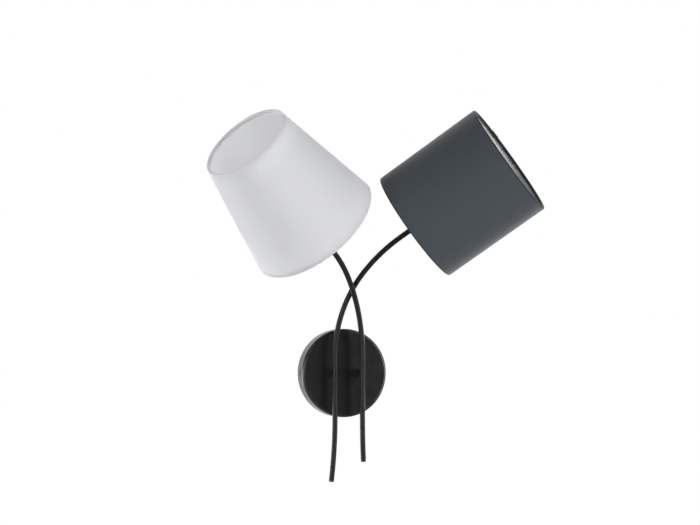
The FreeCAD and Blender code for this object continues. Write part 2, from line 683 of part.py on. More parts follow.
def wire(lamp, pole, side, crossing_y):
    """One lead: out of its pole, through the stub and the arm, into the lampholder."""
    inner = wire_route(lamp)
    arm_edges, arm_end = inner.trace(side * WIRE_OFFSET)
    entry_x = pole_x(pole) + lamp["stub_side"] * (WIRE_DIAMETER + WIRE_GAP_IN_POLE) / 2
    stub_start = inner.start + RIGHT * side * WIRE_OFFSET
    points = [
        Vector(entry_x, TERMINAL_AXIS_Y, TERMINAL_TOP_Z - WIRE_IN_POLE),
        Vector(entry_x, TERMINAL_AXIS_Y, TERMINAL_TOP_Z + WIRE_RISE),
    ]
    if crossing_y is not None:
        points.append(Vector(0, crossing_y, TERMINAL_TOP_Z + WIRE_CROSSING_HEIGHT))
    points.append(Vector(stub_start.x, stub_start.y + WIRE_BEFORE_STUB, 0))
    points.append(stub_start)
    canopy_edges = rounded_path(points, WIRE_TURN_RADIUS)
    place = lamp_placement(lamp)
    holder_points = [
        Vector(side * WIRE_OFFSET, 0, 0),
        Vector(side * WIRE_OFFSET, 0, CAP_BOTTOM + BUSH_THREAD_LENGTH + WIRE_ABOVE_BUSH),
        Vector(side * WIRE_TERMINAL_OFFSET, 0, CORE_BOTTOM - WIRE_BELOW_CORE),
        Vector(side * WIRE_TERMINAL_OFFSET, 0, CONTACT_LEVEL),
    ]
    holder_points = [place.multVec(point) for point in holder_points]
    return swept(canopy_edges + arm_edges + rounded_path(holder_points, 2 * WIRE_TURN_RADIUS),
                 WIRE_DIAMETER)


def bush():
    outline = [
        (ARM_DIAMETER / 2, -BUSH_SLEEVE_LENGTH), (BUSH_SLEEVE_DIAMETER / 2, -BUSH_SLEEVE_LENGTH),
        (BUSH_SLEEVE_DIAMETER / 2, 0), (BUSH_FLANGE_DIAMETER / 2, 0),
        (BUSH_FLANGE_DIAMETER / 2, BUSH_FLANGE_HEIGHT),
        (BUSH_THREAD_DIAMETER / 2, BUSH_FLANGE_HEIGHT),
        (BUSH_THREAD_DIAMETER / 2, BUSH_FLANGE_HEIGHT + BUSH_THREAD_LENGTH),
        (BUSH_BORE / 2, BUSH_FLANGE_HEIGHT + BUSH_THREAD_LENGTH),
        (BUSH_BORE / 2, 0), (ARM_DIAMETER / 2, 0),
    ]
    return turned(outline)


def holder_cap():
    inner = CAP_DIAMETER / 2 - CAP_WALL
    ledge = CAP_TOP - CAP_LEDGE_DEPTH
    floor = CAP_BOTTOM + CAP_FLOOR
    hub_top = CAP_BOTTOM + BUSH_THREAD_LENGTH
    thread = BUSH_THREAD_DIAMETER / 2 + CONTACT_CLEARANCE
    outline = [
        (thread, CAP_BOTTOM), (CAP_BASE_DIAMETER / 2, CAP_BOTTOM),
        (CAP_BASE_DIAMETER / 2 + CAP_CHAMFER, CAP_BOTTOM + CAP_CHAMFER), (CAP_DIAMETER / 2, CAP_TOP),
        (inner, CAP_TOP), (inner, ledge), (inner - CAP_LEDGE_WIDTH, ledge),
        (inner - CAP_LEDGE_WIDTH, floor), (CAP_HUB_DIAMETER / 2, floor),
        (CAP_HUB_DIAMETER / 2, hub_top), (thread, hub_top),
    ]
    return turned(outline)


def centre_contact(extra=0.0):
    """Stud with a round head in a well under the socket's floor and a bar to its wire."""
    start = Vector(0, 0, CONTACT_LEVEL - extra)
    height = CONTACT_WELL_FLOOR - CONTACT_LEVEL
    stud = cylinder(CONTACT_WIDTH + 2 * extra, height + 2 * extra, start, UP)
    head = cylinder(CENTRE_CONTACT_HEAD, CENTRE_CONTACT_HEAD_HEIGHT,
                    Vector(0, 0, CONTACT_WELL_FLOOR), UP)
    bar = block(CONTACT_REACH + 2 * extra, CONTACT_WIDTH + 2 * extra, CONTACT_THICKNESS + 2 * extra,
                Vector(CONTACT_REACH / 2, 0, CONTACT_LEVEL + CONTACT_THICKNESS / 2))
    return joined([stud, head, bar])


def side_contact(extra=0.0):
    """Strip in the wall of the socket with a foot to its wire."""
    inner = -SOCKET_BORE / 2 - SIDE_CONTACT_SET_BACK
    outer = inner - SIDE_CONTACT_THICKNESS
    foot_inner = -WIRE_TERMINAL_OFFSET + SIDE_CONTACT_FOOT_SHORTFALL
    foot = block(foot_inner - outer + 2 * extra, CONTACT_WIDTH + 2 * extra,
                 CONTACT_THICKNESS + 2 * extra,
                 Vector((outer + foot_inner) / 2, 0, CONTACT_LEVEL + CONTACT_THICKNESS / 2))
    height = SOCKET_FLOOR + SIDE_CONTACT_LENGTH - CONTACT_LEVEL
    strip = block(inner - outer + 2 * extra, CONTACT_WIDTH + 2 * extra, height + 2 * extra,
                  Vector((outer + inner) / 2, 0, CONTACT_LEVEL + height / 2))
    return joined([foot, strip])


def holder_core():
    base = CAP_DIAMETER / 2 - CAP_WALL - CORE_BASE_CLEARANCE
    outline = [
        (0, CORE_BOTTOM), (base, CORE_BOTTOM), (base, CORE_BOTTOM + CORE_BASE_HEIGHT),
        (CORE_TUBE_DIAMETER / 2, CORE_BOTTOM + CORE_BASE_HEIGHT), (CORE_TUBE_DIAMETER / 2, CORE_TOP),
        (SOCKET_BORE / 2, CORE_TOP), (SOCKET_BORE / 2, SOCKET_FLOOR),
        (CONTACT_WELL_DIAMETER / 2, SOCKET_FLOOR), (CONTACT_WELL_DIAMETER / 2, CONTACT_WELL_FLOOR),
        (0, CONTACT_WELL_FLOOR),
    ]
    window_height = SIDE_CONTACT_LENGTH + CONTACT_CLEARANCE
    window = block(2 * SIDE_CONTACT_THICKNESS, CONTACT_WIDTH + 2 * CONTACT_CLEARANCE, window_height,
                   Vector(-SOCKET_BORE / 2, 0, SOCKET_FLOOR + window_height / 2))
    cutters = [centre_contact(CONTACT_CLEARANCE), side_contact(CONTACT_CLEARANCE), window]
    for side in (-1, 1):
        start = Vector(side * WIRE_TERMINAL_OFFSET, 0, CORE_BOTTOM - CUT_MARGIN)
        depth = CONTACT_LEVEL - CORE_BOTTOM + CUT_MARGIN
        cutters.append(cylinder(WIRE_DIAMETER + HOLE_CLEARANCE, depth, start, UP))
    return turned(outline).cut(joined(cutters))


def holder_skirt():
    """Outer sleeve with a flange that the shade rests on and a thread for its ring."""
    outer = SKIRT_DIAMETER / 2
    inner = outer - SKIRT_WALL
    plug = CAP_DIAMETER / 2 - CAP_WALL - THREAD_CLEARANCE
    plug_bottom = CORE_BOTTOM + CORE_BASE_HEIGHT
    outline = [
        (inner, plug_bottom), (plug, plug_bottom), (plug, CAP_TOP),
        (SKIRT_FLANGE_DIAMETER / 2, CAP_TOP), (SKIRT_FLANGE_DIAMETER / 2, FLANGE_TOP),
        (outer, FLANGE_TOP),
    ]
    first = SKIRT_TOP - THREAD_TURNS * THREAD_PITCH
    for turn in range(THREAD_TURNS):
        height = first + turn * THREAD_PITCH
        outline.append((outer, height))
        outline.append((outer - THREAD_DEPTH, height + THREAD_PITCH * THREAD_ROOT_START))
        outline.append((outer - THREAD_DEPTH, height + THREAD_PITCH * THREAD_ROOT_END))
        outline.append((outer, height + THREAD_PITCH * THREAD_CREST_START))
    outline += [
        (outer, SKIRT_TOP - SKIRT_LIP / 2), (outer - SKIRT_LIP / 2, SKIRT_TOP),
        (SKIRT_LIP_BORE / 2, SKIRT_TOP), (SKIRT_LIP_BORE / 2, SKIRT_TOP - SKIRT_LIP),
        (inner, SKIRT_TOP - SKIRT_LIP),
    ]
    return turned(outline)


def shade_ring():
    """Threaded ring with grip ribs that clamps the fitter plate on the flange."""
    bore = SKIRT_DIAMETER / 2 + RING_THREAD_CLEARANCE
    top = RING_BOTTOM + RING_HEIGHT
    flange_top = RING_BOTTOM + RING_FLANGE_HEIGHT
    body = turned([
        (bore, RING_BOTTOM), (RING_FLANGE_DIAMETER / 2, RING_BOTTOM),
        (RING_FLANGE_DIAMETER / 2, flange_top), (RING_BODY_DIAMETER / 2, flange_top),
        (RING_BODY_DIAMETER / 2, top), (bore, top),
    ])
    ribs = []
    rib_height = RING_HEIGHT - RING_FLANGE_HEIGHT - RING_RIB_SHORTFALL
    for number in range(RING_RIB_COUNT):
        centre = Vector(RING_BODY_DIAMETER / 2, 0, flange_top + rib_height / 2)
        rib = block(2 * RING_RIB_PROUD, RING_RIB_WIDTH, rib_height, centre)
        rib.rotate(Vector(0, 0, 0), UP, 360.0 * number / RING_RIB_COUNT)
        ribs.append(rib)
    return joined([body] + ribs)


def slant_angle(lamp):
    return math.atan2((lamp["base_diameter"] - lamp["top_diameter"]) / 2, lamp["shade_length"])


def edge_radius(lamp, height):
    """Outer radius of the cover, at a height above its lower end."""
    base = lamp["base_diameter"] / 2
    top = lamp["top_diameter"] / 2
    return base + (top - base) * height / lamp["shade_length"]


def hem_centres(lamp):
    """Centres (radius, height) of the two wire rings, inside the slanted cover."""
    hem_radius = HEM_DIAMETER / 2
    centres = []
    for height in (hem_radius, lamp["shade_length"] - hem_radius):
        radius = edge_radius(lamp, height) - hem_radius / math.cos(slant_angle(lamp))
        centres.append((radius, height - SHADE_BELOW_ARM_END))
    return centres


def shade_frame(lamp):
    """Fitter plate, spokes and the rim wire at the arm's end of the shade."""
    bore = SKIRT_DIAMETER / 2 + FITTER_BORE_CLEARANCE
    plate = turned([
        (bore, FITTER_BOTTOM), (FITTER_DIAMETER / 2, FITTER_BOTTOM),
        (FITTER_DIAMETER / 2, FITTER_TOP), (bore, FITTER_TOP),
    ])
    radius, height = hem_centres(lamp)[0]
    rim = Part.makeTorus(radius, RIM_WIRE_DIAMETER / 2, Vector(0, 0, height), UP)
    middle = (FITTER_BOTTOM + FITTER_TOP) / 2
    inner = Vector(FITTER_DIAMETER / 2 - SPOKE_ROOT_IN, 0, middle)
    seat = height + RIM_WIRE_DIAMETER / 2 + SPOKE_SEAT_RISE
    outer = Vector(radius - SPOKE_SEAT_IN, 0, seat)
    spokes = []
    for number in range(SPOKE_COUNT):
        spoke = cylinder(SPOKE_DIAMETER, (outer - inner).Length, inner, outer - inner)
        spoke.rotate(Vector(0, 0, 0), UP, 360.0 * number / SPOKE_COUNT)
        spokes.append(spoke)
    return joined([plate, rim] + spokes)


def shade_top_ring(lamp):
    radius, height = hem_centres(lamp)[1]
    return Part.makeTorus(radius, RIM_WIRE_DIAMETER / 2, Vector(0, 0, height), UP)


def shade_cover(lamp):
    """Slanted sheet whose ends are rolled half round the wire rings."""
    slant = slant_angle(lamp)
    outward = Vector(math.cos(slant), 0, math.sin(slant))
    along = Vector(-math.sin(slant), 0, math.cos(slant))
    base, top = (Vector(radius, 0, height) for radius, height in hem_centres(lamp))
    outer = HEM_DIAMETER / 2
    inner = outer - COVER_THICKNESS
    outline = [
        Part.LineSegment(base + outward * outer, top + outward * outer),
        Part.Arc(top + outward * outer, top + along * outer, top - outward * outer),
        Part.LineSegment(top - outward * outer, top - outward * inner),
        Part.Arc(top - outward * inner, top + along * inner, top + outward * inner),
        Part.LineSegment(top + outward * inner, base + outward * inner),
        Part.Arc(base + outward * inner, base - along * inner, base - outward * inner),
        Part.LineSegment(base - outward * inner, base - outward * outer),
        Part.Arc(base - outward * outer, base - along * outer, base + outward * outer),
    ]
    face = Part.Face(Part.Wire([piece.toShape() for piece in outline]))
    return face.revolve(Vector(0, 0, 0), UP, 360)


def shade_lining(lamp):
    """Slanted sheet just inside the cover, between the two hems."""
    stretch = 1 / math.cos(slant_angle(lamp))
    margin = HEM_DIAMETER + LINING_HEM_GAP
    outer = COVER_THICKNESS + LINING_GAP
    corners = []
    for depth, height in ((outer, margin), (outer, lamp["shade_length"] - margin),
                          (outer + LINING_THICKNESS, lamp["shade_length"] - margin),
                          (outer + LINING_THICKNESS, margin)):
        corners.append((edge_radius(lamp, height) - depth * stretch, height - SHADE_BELOW_ARM_END))
    return turned(corners)


def write_part():
    nodes = {
        "canopy": canopy(),
        "canopy_screw_left": side_screw(-1),
        "canopy_screw_right": side_screw(1),
        "wall_bracket": wall_bracket(),
        "terminal_block": terminal_block(),
        "terminal_inserts": terminal_inserts(),
        "terminal_screws": terminal_screws(),
        "terminal_rivets": terminal_rivets(),
        "earth_screw": earth_screw(),
        "earth_wire": earth_wire(),
        "stub_nuts": stub_nuts(),
        "stub_washers": stub_washers(),
    }
    live, neutral = 0, POLE_COUNT - 1
    for name, lamp in LAMPS.items():
        near_pole = neutral if lamp["stub_side"] > 0 else live
        crossing = TERMINAL_FRONT_Y + (WIRE_CROSSING_STEP if lamp["stub_side"] > 0 else 0.0)
        leads = {"live": (live, -1), "neutral": (neutral, 1)}
        for lead, (pole, side) in leads.items():
            crossing_y = None if pole == near_pole else crossing
            nodes[f"{name}_{lead}_wire"] = wire(lamp, pole, side, crossing_y)
        nodes[f"{name}_stub"] = stub(lamp)
        nodes[f"{name}_arm"] = arm(lamp)
        nodes[f"{name}_arm_plug"] = arm_plug(lamp)
        on_lamp_axis = {
            "bush": bush(),
            "holder_cap": holder_cap(),
            "holder_core": holder_core(),
            "centre_contact": centre_contact(),
            "side_contact": side_contact(),
            "holder_skirt": holder_skirt(),
            "shade_ring": shade_ring(),
            "shade_frame": shade_frame(lamp),
            "shade_top_ring": shade_top_ring(lamp),
            "shade_cover": shade_cover(lamp),
            "shade_lining": shade_lining(lamp),
        }
        place = lamp_placement(lamp)
        for piece, shape in on_lamp_axis.items():
            shape.Placement = place.multiply(shape.Placement)
            nodes[f"{name}_{piece}"] = shape
        route = arm_route(lamp)
        print(name, "arm length", round(route.length(), 2), "end", route.point, "axis", route.heading)
    os.makedirs("parts", exist_ok=True)
    for node, shape in nodes.items():
        if not shape.isValid():
            print("not valid:", node)
        shape.exportStep(f"parts/{node}.step")
    print(len(nodes), "nodes")


write_part()
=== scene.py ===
import json
import math

import bpy
import numpy as np
from bpy.props import FloatProperty, FloatVectorProperty, PointerProperty
from bpy.types import Operator, Panel, PropertyGroup
from mathutils import Matrix, Vector


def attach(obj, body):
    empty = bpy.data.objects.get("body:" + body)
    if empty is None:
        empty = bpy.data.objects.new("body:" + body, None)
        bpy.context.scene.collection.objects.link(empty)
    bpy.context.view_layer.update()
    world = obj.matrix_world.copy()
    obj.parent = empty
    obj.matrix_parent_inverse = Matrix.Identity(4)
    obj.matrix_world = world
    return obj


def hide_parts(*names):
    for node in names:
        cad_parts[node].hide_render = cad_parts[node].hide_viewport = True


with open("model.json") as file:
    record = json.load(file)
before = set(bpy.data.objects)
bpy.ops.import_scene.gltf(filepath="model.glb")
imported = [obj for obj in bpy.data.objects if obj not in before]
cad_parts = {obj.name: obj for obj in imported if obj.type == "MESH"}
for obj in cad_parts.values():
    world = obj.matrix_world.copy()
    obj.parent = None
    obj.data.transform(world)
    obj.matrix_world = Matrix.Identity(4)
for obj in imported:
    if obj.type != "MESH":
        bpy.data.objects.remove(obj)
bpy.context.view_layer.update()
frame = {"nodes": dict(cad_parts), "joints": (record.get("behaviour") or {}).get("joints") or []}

bl_info = {
    "name": "Double arm wall sconce",
    "version": (1, 0, 0),
    "blender": (4, 5, 0),
    "location": "3D View > Sidebar > Sconce",
    "description": "Cloth shades, coated metal and studio for a wall light with two crossing arms",
    "category": "Object",
}

SIDES = ("left", "right")
MM = 0.001

# Broad drift of a moulded or coated finish: its size as a multiple of the grain, and how far
# it swings the roughness, as a share of it
DRIFT_OVER_GRAIN = 30
GLOSS_SWING = 0.2

# Tone of the cloth: the shares that slubs, broad clouds and weave have in it, the slubs per
# thread, how slim a slub is, and the size of a cloud
SLUB_SHARE = 0.6
CLOUD_SHARE = 0.25
WEAVE_SHARE = 0.15
SLUB_DENSITY = 0.6
SLUB_SLIMNESS = 0.04
CLOUD_SIZE = 60.0 * MM

# Metal and glass see darkness in front of the object and white behind it. A step says where
# one starts to pass into the other and where it has done so: for the world as the share of +Y
# in a direction, for the floor as a Y in metres. The last value is how much of what the floor
# shows to the camera is plain white.
WORLD_STEP = (-0.25, 0.35)
FLOOR_STEP = (-0.5, 1.0)
FLOOR_WHITE_SHARE = 0.8

# Place and width of each soft lamp in metres, and the point that they all look at
LAMPS = {
    "front_left": ((-1.7, -1.2, 0.1), 1.0),
    "front_right": ((1.5, -1.5, 0.1), 1.0),
    "front": ((-0.1, -2.2, 0.15), 0.3),
    "high_left": ((-1.2, -1.6, 1.6), 1.2),
    "high_right": ((1.2, -1.4, 1.2), 1.2),
    "back_left": ((-1.2, 0.9, -0.3), 0.9),
    "back_right": ((1.2, 0.9, -0.3), 0.9),
}
LAMP_TARGET = (0.0, -0.08, 0.10)


def lamp_axes(side):
    """Origin on the arm's end and unit axes of a lamp: level, up-and-across and along the shade."""
    joint = next(j for j in frame["joints"] if j["name"] == f"{side}_shade_turn")
    along = np.array(joint["axis"], float)
    along /= np.linalg.norm(along)
    level = np.cross((0.0, 0.0, 1.0), along)
    level /= np.linalg.norm(level)
    return np.array(joint["pos_m"], float), level, np.cross(along, level), along


def measure_round(node, side):
    """Radius and height of a node's points from the lamp axis."""
    origin, _, _, along = lamp_axes(side)
    mesh = frame["nodes"][node].data
    points = np.empty(len(mesh.vertices) * 3)
    mesh.vertices.foreach_get("co", points)
    points = points.reshape(-1, 3) - origin
    heights = points @ along
    return np.linalg.norm(points - heights[:, None] * along, axis=1), heights


def hem_centres(side, hem):
    """Centres (radius, height) of a cover's lower and upper rolled hem.

    The lower hem reaches furthest out, and the upper one furthest in, by half its thickness.
    """
    radii, heights = measure_round(f"{side}_shade_cover", side)
    low, high = heights.min(), heights.max()
    low_radius = radii[heights < low + hem].max() - hem / 2
    high_radius = radii[heights > high - hem].min() + hem / 2
    return np.array([low_radius, low + hem / 2]), np.array([high_radius, high - hem / 2])


def lining_ends(side, near):
    """Outer corners (radius, height) of a lining at its lower and upper end."""
    radii, heights = measure_round(f"{side}_shade_lining", side)
    low, high = heights.min(), heights.max()
    return (np.array([radii[heights < low + near].max(), low]),
            np.array([radii[heights > high - near].max(), high]))


class SconceClothSettings(PropertyGroup):
    """Sizes and colours of the two fabric shades."""

    hem: FloatProperty(name="Hem", description="Diameter of the rolled hem",
                       default=3.2 * MM, unit="LENGTH")
    cloth: FloatProperty(name="Cloth", description="Thickness of the cloth on its laminate",
                         default=0.5 * MM, unit="LENGTH")
    film: FloatProperty(name="Laminate", description="Thickness of the inner laminate",
                        default=0.4 * MM, unit="LENGTH")
    roll: FloatProperty(name="Roll", description="How far the hem goes round its wire",
                        default=math.radians(290), subtype="ANGLE")
    lap: FloatProperty(name="Lap", description="Width of the glued lap seam",
                       default=11.0 * MM, unit="LENGTH")
    lap_rise: FloatProperty(name="Lap rise", description="How far the lap stands out",
                            default=0.45 * MM, unit="LENGTH")
    left_seam: FloatProperty(name="Left seam", description="Place of the seam round the left shade",
                             default=math.radians(50), subtype="ANGLE")
    right_seam: FloatProperty(name="Right seam", description="Place of the seam round the right shade",
                              default=math.radians(39.5), subtype="ANGLE")
    thread: FloatProperty(name="Thread", description="Distance between two threads",
                          default=0.42 * MM, unit="LENGTH")
    left_colour: FloatVectorProperty(name="Left cloth", description="Colour of the left shade",
                                     default=(0.85, 0.855, 0.88), subtype="COLOR")
    right_colour: FloatVectorProperty(name="Right cloth", description="Colour of the right shade",
                                      default=(0.050, 0.060, 0.069), subtype="COLOR")
    left_sheen: FloatProperty(name="Left sheen", description="Soft shine of the left cloth",
                              default=0.05, min=0.0, max=1.0)
    right_sheen: FloatProperty(name="Right sheen", description="Soft shine of the right cloth",
                               default=0.35, min=0.0, max=1.0)
    # Painted shade: the hem values below darken the colour of each cloth's rolled hems.
    left_hem: FloatProperty(name="Left hem", description="Tone of the hems beside the left cloth",
                            default=0.9, min=0.0, max=1.0)
    right_hem: FloatProperty(name="Right hem", description="Tone of the hems beside the right cloth",
                             default=0.35, min=0.0, max=1.0)
    film_colour: FloatVectorProperty(name="Inside", description="Colour of the laminate",
                                     default=(0.84, 0.845, 0.85), subtype="COLOR")
    left_passes: FloatProperty(name="Left glow", description="Share of light that white sheets let by",
                               default=0.7, min=0.0, max=1.0)
    right_passes: FloatProperty(name="Right glow", description="Share that the dark shade's film lets by",
                                default=0.2, min=0.0, max=1.0)
    glow_colour: FloatVectorProperty(name="Glow", description="Colour of the light that comes by",
                                     default=(0.97, 0.97, 0.975), subtype="COLOR")


class SconceMetalSettings(PropertyGroup):
    """Finish of the coated and plain metal."""

    coat: FloatVectorProperty(name="Canopy coat", description="Colour of the canopy's satin coat",
                              default=(0.008, 0.008, 0.0085), subtype="COLOR")
    coat_roughness: FloatProperty(name="Canopy roughness", description="Mean roughness of that coat",
                                  default=0.25, min=0.0, max=1.0)
    tube_coat: FloatVectorProperty(name="Tube coat", description="Colour of the arms' matt coat",
                                   default=(0.014, 0.014, 0.0145), subtype="COLOR")
    tube_roughness: FloatProperty(name="Tube roughness", description="Mean roughness of that coat",
                                  default=0.35, min=0.0, max=1.0)
    peel: FloatProperty(name="Grain", description="Size of the coat's grain",
                        default=0.5 * MM, unit="LENGTH")
    frame_coat: FloatVectorProperty(name="Wire coat", description="Colour of the shade wires",
                                    default=(0.72, 0.72, 0.70), subtype="COLOR")


class SconceStageSettings(PropertyGroup):
    """Camera, floor and light."""

    camera_place: FloatVectorProperty(name="Camera", description="Place of the camera",
                                      default=(-0.66916, -2.06372, 0.01686), subtype="XYZ")
    camera_pan: FloatProperty(name="Pan", description="How far the camera looks right of +Y",
                              default=math.radians(18.277), subtype="ANGLE")
    camera_tilt: FloatProperty(name="Tilt", description="How far the camera looks up",
                               default=math.radians(2.880), subtype="ANGLE")
    lens: FloatProperty(name="Lens", description="Focal length on a 36 mm sensor, in mm",
                        default=97.71)
    floor_level: FloatProperty(name="Floor", description="Height of the floor",
                               default=-0.45, unit="LENGTH")
    floor_size: FloatProperty(name="Floor size", description="Side of the floor",
                              default=30.0, unit="LENGTH")
    front_left: FloatProperty(name="Front left", description="Power of that lamp, in W", default=19.0)
    front_right: FloatProperty(name="Front right", description="Power of that lamp, in W",
                               default=20.4)
    front: FloatProperty(name="Front", description="Power of the small front lamp, in W", default=3.4)
    high_left: FloatProperty(name="High left", description="Power of that lamp, in W", default=6.0)
    high_right: FloatProperty(name="High right", description="Power of that lamp, in W",
                              default=12.3)
    back_left: FloatProperty(name="Back left", description="Power of that lamp, in W", default=18.7)
    back_right: FloatProperty(name="Back right", description="Power of that lamp, in W",
                              default=9.4)
    floor_glow: FloatProperty(name="Floor glow", description="Brightness of the floor to the camera",
                              default=1.25)


def add_node(tree, kind, inputs=None, **settings):
    """New node with its settings, and its sockets linked or set."""
    node = tree.nodes.new(kind)
    for name, value in settings.items():
        setattr(node, name, value)
    for name, value in (inputs or {}).items():
        if isinstance(value, bpy.types.NodeSocket):
            tree.links.new(value, node.inputs[name])
        else:
            node.inputs[name].default_value = value
    return node


def calculate(tree, operation, first, second=None, third=None):
    """Output of a Math node on up to three values or sockets."""
    node = tree.nodes.new("ShaderNodeMath")
    node.operation = operation
    for place, value in enumerate((first, second, third)):
        if isinstance(value, bpy.types.NodeSocket):
            tree.links.new(value, node.inputs[place])
        elif value is not None:
            node.inputs[place].default_value = value
    return node.outputs[0]


def new_material(name, roughness, metallic=0.0, **sockets):
    """Material, its tree and its shader, with the uniform values set on the shader."""
    material = bpy.data.materials.new(name)
    material.use_nodes = True
    tree = material.node_tree
    shader = tree.nodes["Principled BSDF"]
    shader.inputs["Roughness"].default_value = roughness
    shader.inputs["Metallic"].default_value = metallic
    for socket, value in sockets.items():
        shader.inputs[socket.replace("_", " ")].default_value = value
    return material, tree, shader


def tint(tree, shader, colour, factor, spread, tone=None):
    """Links a base colour that swings by a share of itself with a factor from 0 to 1.

    A tone, where there is one, is a socket that the colour is multiplied by.
    """
    dark = [channel * (1 - spread) for channel in colour]
    light = [min(channel * (1 + spread), 1.0) for channel in colour]
    ramp = add_node(tree, "ShaderNodeValToRGB", {"Fac": factor})
    ramp.color_ramp.elements[0].color = (*dark, 1.0)
    ramp.color_ramp.elements[1].color = (*light, 1.0)
    result = ramp.outputs["Color"]
    if tone is not None:
        result = add_node(tree, "ShaderNodeMix", {"Factor": 1.0, "A": result, "B": tone},
                          data_type="RGBA", blend_type="MULTIPLY").outputs["Result"]
    tree.links.new(result, shader.inputs["Base Color"])


def vary_roughness(tree, shader, factor, spread):
    """Links a roughness that swings round the shader's own value."""
    mean = shader.inputs["Roughness"].default_value
    swing = add_node(tree, "ShaderNodeMapRange", {
        "Value": factor, "To Min": max(mean - spread, 0.02), "To Max": min(mean + spread, 1.0)})
    tree.links.new(swing.outputs["Result"], shader.inputs["Roughness"])


def mix_surfaces(tree, first, second, share):
    """Sends two shaders to the material's output, the second one with a share from 0 to 1."""
    mix = add_node(tree, "ShaderNodeMixShader", {"Fac": share})
    tree.links.new(first, mix.inputs[1])
    tree.links.new(second, mix.inputs[2])
    output = next(node for node in tree.nodes if node.type == "OUTPUT_MATERIAL")
    tree.links.new(mix.outputs["Shader"], output.inputs["Surface"])


def let_light_by(material, colour, share):
    """Mixes a surface with one that glows with the light behind it."""
    tree = material.node_tree
    glow = add_node(tree, "ShaderNodeBsdfTranslucent", {"Color": (*colour, 1.0)})
    mix_surfaces(tree, tree.nodes["Principled BSDF"].outputs["BSDF"], glow.outputs["BSDF"], share)


def raise_surface(tree, shader, height, depth):
    """Links a bump whose full height is a depth in metres."""
    bump = add_node(tree, "ShaderNodeBump", {"Height": height, "Distance": depth, "Strength": 1.0})
    tree.links.new(bump.outputs["Normal"], shader.inputs["Normal"])


def surface_noise(tree, size, detail=3.0, stretch=(1.0, 1.0, 1.0)):
    """Noise on Object coordinates whose blobs measure about size, in metres."""
    place = add_node(tree, "ShaderNodeTexCoord").outputs["Object"]
    mapping = add_node(tree, "ShaderNodeMapping", {"Vector": place, "Scale": stretch})
    noise = add_node(tree, "ShaderNodeTexNoise", {
        "Vector": mapping.outputs["Vector"], "Scale": 1.0 / size, "Detail": detail})
    return noise.outputs["Fac"]


def grained_material(name, colour, roughness, grain, depth, spread=0.06, metallic=0.0, **sockets):
    """Finish with a fine grain in its height and a broad drift in its colour and gloss."""
    material, tree, shader = new_material(name, roughness, metallic, **sockets)
    drift = surface_noise(tree, DRIFT_OVER_GRAIN * grain, detail=4.0)
    tint(tree, shader, colour, drift, spread)
    vary_roughness(tree, shader, drift, GLOSS_SWING * roughness)
    raise_surface(tree, shader, surface_noise(tree, grain), depth)
    return material


def coat_material(name, colour, roughness, peel, **sockets):
    """Black powder coat: fine orange peel under an even gloss."""
    return grained_material(name, colour, roughness, peel, depth=0.004 * MM, spread=0.12, **sockets)


def brushed_material(name, colour, roughness, stretch, line=0.4 * MM, cloud=8.0 * MM, spread=0.1):
    """Plated or drawn metal with fine lines along one axis and a cloudy tone."""
    material, tree, shader = new_material(name, roughness, metallic=1.0)
    lines = surface_noise(tree, line, detail=5.0, stretch=stretch)
    tint(tree, shader, colour, surface_noise(tree, cloud), spread)
    vary_roughness(tree, shader, lines, spread)
    raise_surface(tree, shader, lines, depth=0.004 * MM)
    return material


def striped_lead_material(green=(0.04, 0.28, 0.05, 1.0), yellow=(0.72, 0.58, 0.03, 1.0)):
    """Insulation of the earth lead, green and yellow in two lengthwise halves."""
    material, tree, shader = new_material("earth lead insulation", 0.42, IOR=1.46)
    place = add_node(tree, "ShaderNodeTexCoord").outputs["Object"]
    across = add_node(tree, "ShaderNodeSeparateXYZ", {"Vector": place}).outputs["X"]
    half = calculate(tree, "GREATER_THAN", across, 0.0)
    mix = add_node(tree, "ShaderNodeMix", {"Factor": half, "A": green, "B": yellow},
                   data_type="RGBA")
    tree.links.new(mix.outputs["Result"], shader.inputs["Base Color"])
    raise_surface(tree, shader, surface_noise(tree, 0.6 * MM), depth=0.01 * MM)
    return material


